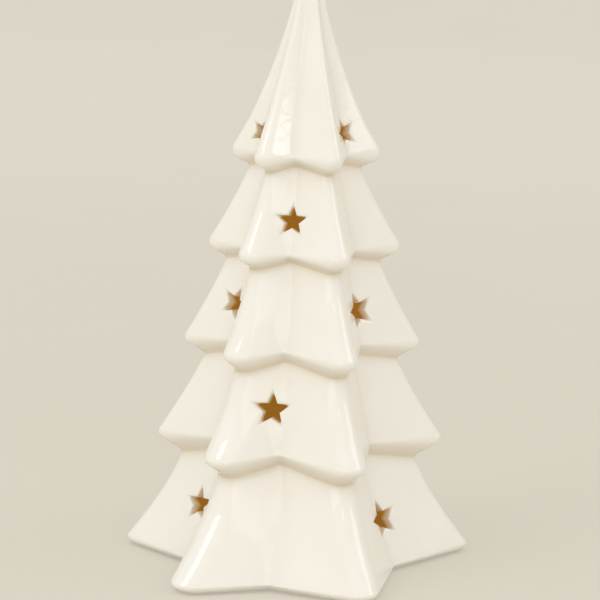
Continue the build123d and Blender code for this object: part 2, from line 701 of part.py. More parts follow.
# Positive clip: foot under the board and a leg down the cell's side
clip_x = cell_x + CELL_RADIUS + CONTACT_CLEARANCE + half_strip
with BuildPart() as positive_clip:
    with BuildSketch(Plane.XZ):
        with BuildLine() as clip_line:
            Polyline(
                (clip_x + CLIP_FOOT, board_bottom - half_strip),
                (clip_x, board_bottom - half_strip),
                (clip_x, cell_bottom + CELL_THICKNESS / 2),
            )
        trace(clip_line.line, line_width=CONTACT_THICKNESS)
    extrude(amount=CONTACT_WIDTH / 2, both=True)
finish(positive_clip, "positive_clip")

# Battery door: flap with a rounded hinge edge, two pins and grip ribs
door_end = cell_x + DOOR_LENGTH / 2
with BuildPart() as battery_door:
    with BuildSketch(Plane.XZ.offset(-DOOR_WIDTH / 2)):
        with BuildLine():
            Polyline(
                (hinge_x, door_bottom),
                (door_end, door_bottom),
                (door_end, door_top),
                (hinge_x, door_top),
            )
            ThreePointArc(
                (hinge_x, door_top),
                (hinge_x - DOOR_THICKNESS / 2, hinge_height),
                (hinge_x, door_bottom),
            )
        make_face()
    extrude(amount=DOOR_WIDTH)
    with BuildSketch(Plane.XZ):
        with Locations((hinge_x, hinge_height)):
            Circle(HINGE_PIN_RADIUS)
    extrude(amount=DOOR_WIDTH / 2 + HINGE_PIN_LENGTH, both=True)
    with BuildSketch(Plane.XY.offset(door_bottom)):
        with Locations((door_end - DOOR_RIB_WIDTH * DOOR_RIBS, 0)):
            with GridLocations(2 * DOOR_RIB_WIDTH, 0, DOOR_RIBS, 1):
                Rectangle(DOOR_RIB_WIDTH, DOOR_RIB_LENGTH)
    extrude(amount=DOOR_RIB_DEPTH, mode=Mode.SUBTRACT)
finish(battery_door, "battery_door")
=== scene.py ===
import json
from collections import namedtuple
from math import atan2, cos, exp, pi, radians, sin

import bpy
from mathutils import Color, Matrix, Quaternion, Vector, noise
from mathutils.bvhtree import BVHTree


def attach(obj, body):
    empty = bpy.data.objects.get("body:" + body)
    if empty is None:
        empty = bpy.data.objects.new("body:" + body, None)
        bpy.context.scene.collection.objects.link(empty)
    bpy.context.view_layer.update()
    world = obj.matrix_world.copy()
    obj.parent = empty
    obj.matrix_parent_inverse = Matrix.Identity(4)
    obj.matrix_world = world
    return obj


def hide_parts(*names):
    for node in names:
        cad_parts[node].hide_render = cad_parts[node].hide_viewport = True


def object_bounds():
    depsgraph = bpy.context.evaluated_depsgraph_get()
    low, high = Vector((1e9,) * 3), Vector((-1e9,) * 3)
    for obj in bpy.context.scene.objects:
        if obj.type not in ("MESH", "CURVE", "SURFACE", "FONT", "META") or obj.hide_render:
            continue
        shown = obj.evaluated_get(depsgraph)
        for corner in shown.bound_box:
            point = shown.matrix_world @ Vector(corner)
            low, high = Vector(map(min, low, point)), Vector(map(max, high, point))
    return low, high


# Glazed ceramic fir tree with star cut-outs and the light unit in its base.
# The tree's own sizes are in millimetres, and MM turns them into the frame's metres.
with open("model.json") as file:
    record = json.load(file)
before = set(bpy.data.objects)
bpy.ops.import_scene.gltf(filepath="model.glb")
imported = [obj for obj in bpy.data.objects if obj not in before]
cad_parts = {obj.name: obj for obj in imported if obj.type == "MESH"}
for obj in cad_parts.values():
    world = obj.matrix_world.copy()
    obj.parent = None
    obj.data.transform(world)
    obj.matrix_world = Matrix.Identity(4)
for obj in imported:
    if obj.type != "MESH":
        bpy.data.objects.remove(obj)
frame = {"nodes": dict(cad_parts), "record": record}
cad_low, cad_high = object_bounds()
MM = 0.001
RIGHT_ANGLE = 90

# Star outline: bearings in degrees from +X of the five ridges and of the valleys between them
RIDGE_BEARINGS = (22, 99, 175, 236, 305)
RIDGES = len(RIDGE_BEARINGS)
RIDGE_SHARES = (1.088, 1.018, 1.018, 0.965, 0.949)  # each ridge's reach against its tier's
FOOT_STRETCHES = (0.0, 0.0, 0.0, 3.4, 0.0)  # how much further each ridge runs out at the foot
VALLEY_BEARINGS = (60, 137, 205, 266, 347)
VALLEY_SHARES = (1.0, 1.0, 0.98, 1.0, 0.95)  # each valley's distance from the axis against its tier's
FRONT_RIDGES = (3, 4)
RIDGE_ROUNDS = (3.0, 3.0, 3.0, 7.0, 7.0)
FOOT_ROUNDS = (4.0, 4.0, 4.0, 7.0, 7.0)
VALLEY_ROUNDS = (8.0, 8.0, 4.0, 14.0, 4.0)  # halfway down a tier's side
CRISP_ROUNDS = RIDGES * (3.0,)  # of the valleys at its rim and neck
RIDGE_LIMIT = 0.15  # largest roundings as shares of the reach, for the narrow tip
VALLEY_LIMIT = 0.25

# Tiers from the top down: reach of the ridges, height, and how much higher the valleys lie
TREE_HEIGHT = 205.95
TIP_REACH = 3.3
TIP_DROP = 3.0  # height of the rounded tip
TIP_TURNS = (80, 65, 50, 35, 20)  # degrees up its rounding
RIM_REACHES = (26.6, 34.0, 42.0, 50.3, 59.9)
RIM_HEIGHTS = (138.0, 106.6, 73.6, 40.1, 2.8)
RIM_LIFTS = (0.7, 1.1, 2.9, 3.4, 0.0)
RIM_ROUNDS = (4.2, 3.4, 2.7, 2.6, 1.4)
RIM_CRISPNESS = 0.25  # the rim's rounding in a valley as a share of that on a ridge
RIM_START = 30  # degrees above the rim's widest line, where the flared side ends
RIM_TURNS = (18, 6, -8, -22, -35, -48)  # degrees of the rows below that
NECK_INSETS = (5.8, 6.3, 7.6, 8.9)
NECK_DROPS = (5.3, 4.9, 5.3, 6.2)
NECK_LIFTS = (3.2, 3.5, 5.0, 6.2)
RIM_VALLEYS = (0.60, 0.58, 0.55, 0.55, 0.64)  # a valley's distance from the axis against the reach
NECK_VALLEY = 0.60
TIP_VALLEY = 0.66
# How hollow each tier's side is along its arms, its two front ridges and its valleys: 1 would be straight
ARM_FLARES = (1.65, 1.2, 1.2, 1.15, 1.3)
FRONT_FLARES = (1.43, 1.38, 1.55, 1.47, 1.35)
VALLEY_FLARES = (1.43, 1.1, 1.1, 1.1, 1.3)
LAST_TIER = len(RIM_REACHES) - 1

# Soft crease where a tier's underside meets the tier below
CREASE_UNDER = 0.85  # where it starts, as a share of the way down the underside
CREASE_SIDE = 0.025  # where it ends, as a share of the way down the next side
CREASE_ROWS = 6

# Pooled glaze with painted shade: a warmer, darker colour in the creases, the valleys and under each tier,
# from 0 for none to 1 for the most
UNDERSIDE_POOL_AND_SHADE = 0.35
CREASE_POOL_AND_SHADE = (0.6, 1.0)  # where the crease starts and ends
# The painted shade under each tier's overhang fades down the side below
POOL_AND_SHADE_FADE = 1.2  # how far it reaches down the side below
VALLEY_POOL_AND_SHADE = 0.1
VALLEY_POOL_AND_SHADE_WIDTH = 3.5  # in columns of the mesh

# Wall, cavity, floor and socket
WALL = 4.2
CAVITY_SHARE = 0.7  # where its pointed top begins, as a share of the way down the top tier
CAVITY_PEAK = 12.0  # height of that top
CAVITY_RIDGE_ROUNDS = RIDGES * (0.8,)
CAVITY_VALLEY_ROUNDS = RIDGES * (1.6,)
FOOT_HEIGHT = 1.0
FOOT_INSET = 1.2
FOOT_FLAT_INSET = 2.6
FLOOR_HEIGHT = 9.0
SOCKET_RADIUS = 21.0
RECESS_RADIUS = 24.6
RECESS_TOP = 4.2
EDGE_ROUND = 0.35

# Mesh density
RIDGE_STEPS = 8
VALLEY_STEPS = 4
SIDE_STEPS = 12
ROW_STEP = 1.5  # height of the rows down a tier's side
RIDGE_COLUMNS = RIDGE_STEPS + 1 + VALLEY_STEPS + 1 + 2 * (SIDE_STEPS - 1)
COLUMNS = RIDGES * RIDGE_COLUMNS
VALLEY_COLUMN = RIDGE_STEPS + SIDE_STEPS + VALLEY_STEPS // 2  # from a ridge's first column
VALLEY_TO_RIDGE = VALLEY_STEPS // 2 + SIDE_STEPS + RIDGE_STEPS // 2  # columns between their middles

# Hand-finished unevenness of the clay, always inwards
WAVE_DEPTH = 0.30
WAVE_LENGTH = 30.0
RIPPLE_DEPTH = 0.04
RIPPLE_LENGTH = 9.0

# Star cut-outs: tier, valley, height above the rim, sideways shift, tip radius, and the degrees that the
# top leans to the left seen from outside
BACK_RIGHT, BACK_LEFT, LEFT, FRONT, RIGHT = range(RIDGES)
Star = namedtuple("Star", "tier valley rise shift tip lean")
STARS = (
    Star(0, LEFT, 7.0, -1.5, 4.6, -20),
    Star(0, RIGHT, 7.6, 0.3, 4.9, 20),
    Star(1, FRONT, 11.7, 0.0, 5.0, 0),
    Star(1, BACK_LEFT, 12.0, 0.0, 5.0, 0),
    Star(1, BACK_RIGHT, 12.0, 0.0, 5.0, 0),
    Star(2, LEFT, 14.5, -3.7, 5.5, -20),
    Star(2, RIGHT, 13.7, 1.4, 6.2, 18),
    Star(3, FRONT, 17.3, -3.2, 5.8, 0),
    Star(3, BACK_LEFT, 17.5, 0.0, 5.8, 0),
    Star(3, BACK_RIGHT, 17.5, 0.0, 5.8, 0),
    Star(4, LEFT, 17.2, -4.3, 5.8, 4),
    Star(4, RIGHT, 14.6, 1.6, 6.5, 14),
)
STAR_TURNS = {LEFT: 30, RIGHT: -32}  # degrees that the side valleys' cuts turn towards the front
STAR_POINTS = 5
STAR_TILT = 12  # degrees that each cut points up
STAR_WINDOW = 1.55  # half of the patch that each star sits in, against its tip radius
STAR_REACH = 20.0  # from how far out the star is dropped on to the side
# The star cuts' walls take a painted glow, more of it the deeper in
STAR_GLOW = 0.18  # how much of the cavity's glow each millimetre into the wall adds to a cut
PATCH_SHARES = (0.3, 0.6, 0.85)  # rings between the window's edge and the star
# Rings of a star, first in from the outer side and then at the cavity's wall. Tip, waist and cut-off end
# of the points are shares of the tip radius, depth is measured from that surface, and the last number is
# how much pooled glaze and painted shade the ring has.
Cut = namedtuple("Cut", "tip waist end depth pool", defaults=(0.0,))
STAR_RINGS = (
    Cut(1.26, 0.49, 1.26, 0.00, 0.05),
    Cut(1.16, 0.47, 1.16, 0.08, 0.15),
    Cut(1.06, 0.455, 1.00, 0.30, 0.30),
    Cut(1.00, 0.44, 0.86, 0.80, 0.50),
    Cut(0.96, 0.42, 0.82, 1.90, 0.60),
)
STAR_INSIDE = (
    Cut(0.92, 0.41, 0.80, 0.5),
    Cut(0.92, 0.41, 0.80, 0.0),
    Cut(1.02, 0.46, 0.90, 0.0),
)

# Felt under the foot
FELT_INSET = 4.2
FELT_RIDGE_ROUNDS = RIDGES * (1.5,)
FELT_VALLEY_ROUNDS = RIDGES * (3.0,)
FELT_HOLE = 25.2
FELT_THICKNESS = 1.0
FELT_RINGS = 7
FELT_FUZZ = 0.12  # how far its fibres make the underside uneven
FELT_TOP_FUZZ = 0.06
FUZZ_SCALE = 1.7  # waves of the fuzz for each millimetre
FUZZ_SHIFT = 9.0  # keeps the two sides' fuzz unlike each other
FELT_EDGE_WANDER = 0.35
HOLE_WANDER_SCALE = 2  # the hole's edge wanders in shorter waves than the rim

Ring = namedtuple("Ring", "ridge front ridge_height valley valley_height stretch", defaults=(0.0,))
# Each row carries its pooled glaze with painted shade, its bare clay and its painted glow
Row = namedtuple("Row", "points tier share pool bare lit", defaults=(0.0, 0.0))
Plane = namedtuple("Plane", "middle right up out")
Window = namedtuple("Window", "shares left right")


def mix(start, end, share):
    return start + (end - start) * share


def unit_noise(point):
    """Smooth noise at a point, between 0 and 1."""
    return (1 + noise.noise(point)) / 2


def polar(reach, bearing, height):
    return Vector((reach * cos(radians(bearing)), reach * sin(radians(bearing)), height))


# Rings of the tree


def mix_rings(start, end, share):
    return Ring(*[mix(a, b, share) for a, b in zip(start, end)])


def rim(tier):
    """The widest ring of a tier."""
    reach = RIM_REACHES[tier]
    height = RIM_HEIGHTS[tier]
    stretch = 1.0 if tier == LAST_TIER else 0.0
    return Ring(reach, reach, height, reach * RIM_VALLEYS[tier], height + RIM_LIFTS[tier], stretch)


def rim_turn(tier, turn):
    """A ring on a tier's rounded edge, that many degrees above the widest line."""
    edge = rim(tier)
    inset = RIM_ROUNDS[tier] * (1 - cos(radians(turn)))
    rise = RIM_ROUNDS[tier] * sin(radians(turn))
    return Ring(
        edge.ridge - inset,
        edge.front - inset,
        edge.ridge_height + rise,
        edge.valley - inset * RIM_CRISPNESS,
        edge.valley_height + rise * RIM_CRISPNESS,
        edge.stretch,
    )


def neck(tier):
    """The ring where a tier's underside meets the tier below."""
    reach = RIM_REACHES[tier] - NECK_INSETS[tier]
    height = RIM_HEIGHTS[tier] - NECK_DROPS[tier]
    return Ring(reach, reach, height, reach * NECK_VALLEY, height + NECK_LIFTS[tier])


def tier_top(tier):
    """The ring that a tier's flared side starts from."""
    if tier > 0:
        return neck(tier - 1)
    shoulder = TREE_HEIGHT - TIP_DROP
    return Ring(TIP_REACH, TIP_REACH, shoulder, TIP_REACH * TIP_VALLEY, shoulder)


def flare(tier, share):
    """A ring on a tier's hollow side, at a share of the way down to its rim."""
    top = tier_top(tier)
    edge = rim_turn(tier, RIM_START)
    arms = mix_rings(top, edge, share ** ARM_FLARES[tier])
    front = mix_rings(top, edge, share ** FRONT_FLARES[tier]).front
    valley = mix_rings(top, edge, share ** VALLEY_FLARES[tier]).valley
    heights = mix_rings(top, edge, share)
    return heights._replace(ridge=arms.ridge, front=front, valley=valley, stretch=arms.stretch)


def level_ring(ring, height):
    """The same outline laid flat at one height."""
    return ring._replace(ridge_height=height, valley_height=height)


def foot_ring(inset):
    """The foot's outline on its flat underside, moved in from its widest line."""
    edge = rim(LAST_TIER)
    reach = edge.ridge - inset
    return level_ring(edge._replace(ridge=reach, front=reach, valley=edge.valley - inset), FOOT_HEIGHT)


def tip_ring(turn):
    """A ring on the rounded tip, that many degrees above the shoulder."""
    shoulder = tier_top(0)
    height = shoulder.ridge_height + TIP_DROP * sin(radians(turn))
    share = cos(radians(turn))
    reach = shoulder.ridge * share
    return Ring(reach, reach, height, shoulder.valley * share, height)


def underside(tier, share):
    """A ring under a tier, at a share of the way in from its rim to the neck."""
    return mix_rings(rim_turn(tier, RIM_TURNS[-1]), neck(tier), share)


def crease(tier, share):
    """A ring on the curve that joins a tier's underside to the side of the tier below."""
    above = mix_rings(underside(tier, CREASE_UNDER), neck(tier), share)
    below = mix_rings(neck(tier), flare(tier + 1, CREASE_SIDE), share)
    return mix_rings(above, below, share)


# Outlines and rows of points


def corners(ring):
    """A ring's ten corners, ridge and valley in turn."""
    points = []
    for index, valley_bearing in enumerate(VALLEY_BEARINGS):
        reach = (ring.front if index in FRONT_RIDGES else ring.ridge) * RIDGE_SHARES[index]
        reach += ring.stretch * FOOT_STRETCHES[index]
        points.append(polar(reach, RIDGE_BEARINGS[index], ring.ridge_height))
        points.append(polar(ring.valley * VALLEY_SHARES[index], valley_bearing, ring.valley_height))
    return points


def inset_corners(points, distance):
    """The corners moved in so that each side of the outline shifts by the distance, at the same heights."""
    moved = []
    for index, point in enumerate(points):
        before = points[index - 1]
        after = points[(index + 1) % len(points)]
        normals = []
        for start, end in ((before, point), (point, after)):
            side = Vector((end.x - start.x, end.y - start.y, 0)).normalized()
            normals.append(Vector((-side.y, side.x, 0)))
        inward = (normals[0] + normals[1]) / (1 + normals[0].dot(normals[1]))
        moved.append(point + inward * distance)
    return moved


def rounded_outline(points, ridge_rounds, valley_rounds):
    """Closed outline through ten corners, always with the same number of points: arcs and lines in turn."""
    arcs = []
    for index, point in enumerate(points):
        at_ridge = index % 2 == 0
        radius = (ridge_rounds if at_ridge else valley_rounds)[index // 2]
        steps = RIDGE_STEPS if at_ridge else VALLEY_STEPS
        back = (points[index - 1] - point).normalized()
        ahead = (points[(index + 1) % len(points)] - point).normalized()
        half = back.angle(ahead) / 2
        middle = (back + ahead).normalized()
        across = (ahead - back).normalized()
        centre = point + middle * (radius / sin(half))
        arc = []
        for step in range(steps + 1):
            turn = (pi / 2 - half) * (2 * step / steps - 1)
            arc.append(centre - middle * radius * cos(turn) + across * radius * sin(turn))
        arcs.append(arc)
    outline = []
    for index, arc in enumerate(arcs):
        outline.extend(arc)
        following = arcs[(index + 1) % len(arcs)][0]
        for step in range(1, SIDE_STEPS):
            outline.append(arc[-1].lerp(following, step / SIDE_STEPS))
    return outline


def uneven(point):
    """A point of the outside, pressed in a little as hand-finished clay is."""
    wave = WAVE_DEPTH * unit_noise(point / WAVE_LENGTH)
    ripple = RIPPLE_DEPTH * unit_noise(point / RIPPLE_LENGTH)
    reach = max(Vector((point.x, point.y, 0)).length, TIP_REACH)
    inward = Vector((-point.x, -point.y, 0)) / reach
    return point + inward * (wave + ripple)


def outside_row(ring, tier, share, pool):
    """A row of the outside. Its valleys are soft halfway down a tier's side and crisp at rim and neck."""
    softness = sin(pi * share) if share is not None else 0.0
    ridge_rounds = []
    for upper, lower in zip(RIDGE_ROUNDS, FOOT_ROUNDS):
        ridge_rounds.append(min(mix(upper, lower, ring.stretch), RIDGE_LIMIT * ring.ridge))
    valley_rounds = []
    for crisp, soft in zip(CRISP_ROUNDS, VALLEY_ROUNDS):
        valley_rounds.append(min(mix(crisp, soft, softness), VALLEY_LIMIT * ring.ridge))
    outline = rounded_outline(corners(ring), ridge_rounds, valley_rounds)
    return Row([uneven(point) for point in outline], tier, share, pool)


def flare_shares(tier):
    """Where a tier's rows lie, as shares of the way down its side."""
    start = CREASE_SIDE if tier > 0 else 0.0
    count = round((tier_top(tier).ridge_height - RIM_HEIGHTS[tier]) / ROW_STEP)
    return [mix(start, 1.0, step / count) for step in range(count + 1)]


def outside_rows():
    """The skin from the tip down to the edge of the foot."""
    rows = [outside_row(tip_ring(turn), 0, None, 0.0) for turn in TIP_TURNS]
    for tier in range(LAST_TIER + 1):
        for share in flare_shares(tier):
            ring = flare(tier, share)
            # Painted shade at the top of each tier's side, under the overhang of the tier above, fading
            # downwards
            drop_down = tier_top(tier).ridge_height - ring.ridge_height
            pool = exp(-drop_down / POOL_AND_SHADE_FADE) if tier > 0 else 0.0
            rows.append(outside_row(ring, tier, share, pool))
        for turn in RIM_TURNS:
            rows.append(outside_row(rim_turn(tier, turn), tier, None, 0.0))
        if tier < LAST_TIER:
            # Painted shade with pooled glaze under the tier and in the crease to the tier below
            rows.append(outside_row(underside(tier, CREASE_UNDER / 2), tier, None, UNDERSIDE_POOL_AND_SHADE))
            for step in range(CREASE_ROWS):
                share = step / CREASE_ROWS
                rows.append(outside_row(crease(tier, share), tier, None, mix(*CREASE_POOL_AND_SHADE, share)))
    return rows


def level_row(points, height, bare=1.0, lit=0.0):
    """A row of the points laid flat at one height."""
    return Row([Vector((p.x, p.y, height)) for p in points], None, None, 0.0, bare, lit)


def foot_rows():
    """From the foot's edge across its underside, up the recess and socket and on to the cavity floor."""
    rows = []
    for inset, bare in ((FOOT_INSET, 0.0), (FOOT_FLAT_INSET, 1.0)):
        outline = rounded_outline(corners(foot_ring(inset)), FOOT_ROUNDS, CRISP_ROUNDS)
        rows.append(level_row(outline, FOOT_HEIGHT, bare))
    bearings = [atan2(p.y, p.x) for p in rows[-1].points]
    steps = (
        (RECESS_RADIUS + 2 * EDGE_ROUND, FOOT_HEIGHT),
        (RECESS_RADIUS + EDGE_ROUND, FOOT_HEIGHT),
        (RECESS_RADIUS, FOOT_HEIGHT + EDGE_ROUND),
        (RECESS_RADIUS, RECESS_TOP - EDGE_ROUND),
        (RECESS_RADIUS, RECESS_TOP),
        (RECESS_RADIUS - EDGE_ROUND, RECESS_TOP),
        (SOCKET_RADIUS + EDGE_ROUND, RECESS_TOP),
        (SOCKET_RADIUS, RECESS_TOP + EDGE_ROUND),
        (SOCKET_RADIUS, FLOOR_HEIGHT - EDGE_ROUND),
        (SOCKET_RADIUS + EDGE_ROUND, FLOOR_HEIGHT),
        (SOCKET_RADIUS + 2 * EDGE_ROUND, FLOOR_HEIGHT),
    )
    for radius, height in steps:
        circle = [Vector((radius * cos(b), radius * sin(b), 0)) for b in bearings]
        # The socket above the recess takes the painted glow
        lit = 1.0 if height > RECESS_TOP else 0.0
        rows.append(level_row(circle, height, lit=lit))
    return rows


def cavity_stations(tier):
    """Corners of the cavity at the rings that its wall runs through on a tier, by share of the way down."""
    if tier == 0:
        shoulder = flare(0, CAVITY_SHARE)
        rings = [(CAVITY_SHARE, level_ring(shoulder, shoulder.ridge_height)), (1.0, rim(0))]
    elif tier < LAST_TIER:
        rings = [(0.0, neck(tier - 1)), (1.0, rim(tier))]
    else:
        top = neck(tier - 1)
        edge = rim_turn(tier, RIM_START)
        bottom_share = (top.ridge_height - FLOOR_HEIGHT) / (top.ridge_height - edge.ridge_height)
        bottom = flare(tier, bottom_share)
        rings = [
            (0.0, top),
            (bottom_share / 2, flare(tier, bottom_share / 2)),
            (bottom_share, level_ring(bottom, FLOOR_HEIGHT)),
        ]
    return [(share, inset_corners(corners(ring), WALL)) for share, ring in rings]


def cavity_corners(stations, share):
    """The cavity's corners at a share of the way down a tier, between the stations on either side."""
    for (upper_share, upper), (lower_share, lower) in zip(stations, stations[1:]):
        if share <= lower_share:
            way = (share - upper_share) / (lower_share - upper_share)
            return [a.lerp(b, way) for a, b in zip(upper, lower)]


def cavity_rows():
    """The inner skin from the floor up, one wall inside the outer skin."""
    rows = []
    for tier in range(LAST_TIER, -1, -1):
        stations = cavity_stations(tier)
        first = stations[0][0]
        last = stations[-1][0]
        shares = {share for share in flare_shares(tier) if first < share < last}
        for share in sorted({*shares, first, last}, reverse=True):
            points = cavity_corners(stations, share)
            outline = rounded_outline(points, CAVITY_RIDGE_ROUNDS, CAVITY_VALLEY_ROUNDS)
            # The inner skin is bare clay with the full painted glow
            rows.append(Row(outline, tier, share, 0.0, 1.0, 1.0))
    return rows


# The ceramic's mesh


def smooth_mesh(name, points, faces):
    mesh = bpy.data.meshes.new(name)
    mesh.from_pydata(points, [], faces)
    mesh.polygons.foreach_set("use_smooth", [True] * len(mesh.polygons))
    mesh.update()
    return mesh


def loop_faces(outer, inner, window=()):
    """Faces between two closed loops of points, leaving out those of a window."""
    count = len(outer)
    faces = []
    for index in range(count):
        if index not in window:
            ahead = (index + 1) % count
            faces.append((outer[index], inner[index], inner[ahead], outer[ahead]))
    return faces


def valley_pool_and_shade(column):
    """A little more pooled glaze and painted shade along the middle of each valley."""
    distance = abs(column % RIDGE_COLUMNS - VALLEY_COLUMN)
    return VALLEY_POOL_AND_SHADE * exp(-((distance / VALLEY_POOL_AND_SHADE_WIDTH) ** 2))


class Skin:
    """A closed mesh in the making: points in millimetres with what the glaze does there (pooled glaze with
    painted shade, bare clay, painted glow), and faces.
    """

    def __init__(self):
        self.points = []
        self.glaze = []
        self.faces = []

    def add(self, point, pool=0.0, bare=0.0, lit=0.0):
        self.points.append(point)
        self.glaze.append((pool, bare, lit))
        return len(self.points) - 1

    def add_row(self, row):
        on_side = row.share is not None and row.bare == 0.0
        loop = []
        for column, point in enumerate(row.points):
            # Painted shade with pooled glaze along the valleys of the side
            pool = max(row.pool, valley_pool_and_shade(column)) if on_side else row.pool
            loop.append(self.add(point, pool, row.bare, row.lit))
        return loop

    def extend(self, loop, points, pool_and_shade_levels, bare=0.0, lit=0.0):
        """A new loop of points, joined by faces to the loop before it."""
        ring = [self.add(point, pool, bare, lit) for point, pool in zip(points, pool_and_shade_levels)]
        self.faces += loop_faces(loop, ring)
        return ring

    def surface(self, loops):
        """Loops of points as a surface that rays can be cast on."""
        faces = []
        for upper, lower in zip(loops, loops[1:]):
            faces += loop_faces(upper, lower)
        return BVHTree.FromPolygons(self.points, faces)

    def mesh(self, name):
        """The mesh in metres, without the points that no face uses."""
        used = sorted({index for face in self.faces for index in face})
        place = {index: order for order, index in enumerate(used)}
        points = [self.points[index] * MM for index in used]
        mesh = smooth_mesh(name, points, [[place[index] for index in face] for face in self.faces])
        for order, attribute_name in enumerate(("pool", "bare", "lit")):
            attribute = mesh.attributes.new(attribute_name, "FLOAT", "POINT")
            attribute.data.foreach_set("value", [self.glaze[index][order] for index in used])
        return mesh


def star_plane(star):
    """Middle of a star on a tier's side, with the directions to its right, up and out."""
    top = tier_top(star.tier)
    edge = rim_turn(star.tier, RIM_START)
    height = RIM_HEIGHTS[star.tier] + star.rise
    share = (top.valley_height - height) / (top.valley_height - edge.valley_height)
    bearing = VALLEY_BEARINGS[star.valley] + STAR_TURNS.get(star.valley, 0)
    across = polar(1, bearing + RIGHT_ANGLE, 0)
    out = polar(cos(radians(STAR_TILT)), bearing, sin(radians(STAR_TILT)))
    reach = flare(star.tier, share).valley * VALLEY_SHARES[star.valley]
    middle = polar(reach, VALLEY_BEARINGS[star.valley], height) + across * star.shift
    right = Quaternion(out, radians(star.lean)) @ across
    return Plane(middle, right, out.cross(right), out)


def star_corner(index, tip, waist):
    """A corner of an upright star, counted clockwise from its top."""
    radius = tip if index % 2 == 0 else waist
    angle = pi / 2 - index * pi / STAR_POINTS
    return Vector((radius * cos(angle), radius * sin(angle)))


def star_ways(spots):
    """For each point round a window, the star side that it leads to and how far along that side."""
    count = len(spots)
    nearest = []
    for index in range(2 * STAR_POINTS):
        corner = star_corner(index, 1, 1)
        nearest.append(max(range(count), key=lambda i: spots[i].normalized().dot(corner)))
    ways = [None] * count
    for index, start in enumerate(nearest):
        span = (nearest[(index + 1) % len(nearest)] - start) % count
        for step in range(span):
            ways[(start + step) % count] = (index, step / span)
    return ways


def star_loop(ways, radius, cut):
    """A star's outline at one ring of the cut, one point for each point round the window."""
    tip = cut.tip * radius
    waist = cut.waist * radius
    end = cut.end * radius
    loop = []
    for index, share in ways:
        spot = star_corner(index, tip, waist).lerp(star_corner(index + 1, tip, waist), share)
        loop.append(spot * min(1.0, end / spot.length))
    return loop


def flat_spot(point, plane):
    """A point seen square on to a star, as right and up from its middle."""
    offset = point - plane.middle
    return Vector((offset.dot(plane.right), offset.dot(plane.up)))


def drop(surfaces, spots, plane, inside):
    """Where spots of the star's plane land on the outer skin or, behind it, on the inner one."""
    passed = surfaces if inside else surfaces[:1]
    points = []
    for spot in spots:
        place = plane.middle + plane.right * spot.x + plane.up * spot.y + plane.out * STAR_REACH
        for surface in passed:
            place = surface.ray_cast(place, -plane.out)[0]
        points.append(place)
    return points


def find_window(star, outside, cavity):
    """The patch that a star sits in: its rows, as shares of the way down the side, and its end columns."""
    plane = star_plane(star)
    half = STAR_WINDOW * star.tip
    side = {row.share: row.points for row in outside if row.tier == star.tier}
    inner_shares = {row.share for row in cavity if row.tier == star.tier}
    shares = [share for share in flare_shares(star.tier) if share in inner_shares]
    middle = star.valley * RIDGE_COLUMNS + VALLEY_COLUMN
    heights = [flat_spot(side[share][middle], plane).y for share in shares]
    top = max([i for i, height in enumerate(heights) if height >= half], default=0)
    bottom = min([i for i, height in enumerate(heights) if height <= -half], default=len(shares) - 1)
    halfway = side[shares[(top + bottom) // 2]]
    columns = range(middle - VALLEY_TO_RIDGE, middle + VALLEY_TO_RIDGE + 1)
    sideways = {column: flat_spot(halfway[column % COLUMNS], plane).x for column in columns}
    left = max(column for column in columns if sideways[column] <= -half)
    right = min(column for column in columns if sideways[column] >= half)
    return Window(shares[top : bottom + 1], left, right)


def window_loop(rows, window):
    """Points round a window, clockwise seen from outside, starting at its upper left corner."""
    columns = [column % COLUMNS for column in range(window.left, window.right + 1)]
    loop = [rows[0][column] for column in columns[:-1]]
    loop += [row[columns[-1]] for row in rows[:-1]]
    loop += [rows[-1][column] for column in columns[:0:-1]]
    loop += [row[columns[0]] for row in rows[:0:-1]]
    return loop


def cut_star(skin, star, outer_loop, inner_loop, surfaces):
    """Fill one window of both skins with a star-shaped hole through the wall."""
    plane = star_plane(star)
    spots = [flat_spot(skin.points[i], plane) for i in outer_loop]
    inner_spots = [flat_spot(skin.points[i], plane) for i in inner_loop]
    ways = star_ways(spots)
    count = len(ways)
    edge = star_loop(ways, star.tip, STAR_RINGS[0])
    loop = outer_loop
    # Pooled glaze with painted shade grows towards the cut
    for share in PATCH_SHARES:
        ring = [a.lerp(b, share) for a, b in zip(spots, edge)]
        pool_and_shade_levels = [mix(skin.glaze[i][0], STAR_RINGS[0].pool, share) for i in outer_loop]
        loop = skin.extend(loop, drop(surfaces, ring, plane, inside=False), pool_and_shade_levels)
    # The cut's walls get darker with pooled glaze and painted shade, and take more painted glow deeper in
    for cut in STAR_RINGS:
        ring = drop(surfaces, star_loop(ways, star.tip, cut), plane, inside=False)
        points = [point - plane.out * cut.depth for point in ring]
        loop = skin.extend(loop, points, [cut.pool] * count, lit=STAR_GLOW * cut.depth)
    # Inside the wall: bare clay with the full painted glow
    for cut in STAR_INSIDE:
        ring = drop(surfaces, star_loop(ways, star.tip, cut), plane, inside=True)
        points = [point + plane.out * cut.depth for point in ring]
        loop = skin.extend(loop, points, [cut.pool] * count, bare=1.0, lit=1.0)
    edge = star_loop(ways, star.tip, STAR_INSIDE[-1])
    for share in reversed(PATCH_SHARES):
        ring = [a.lerp(b, share) for a, b in zip(inner_spots, edge)]
        loop = skin.extend(loop, drop(surfaces, ring, plane, inside=True), [0.0] * count, bare=1.0, lit=1.0)
    skin.faces += loop_faces(loop, inner_loop)


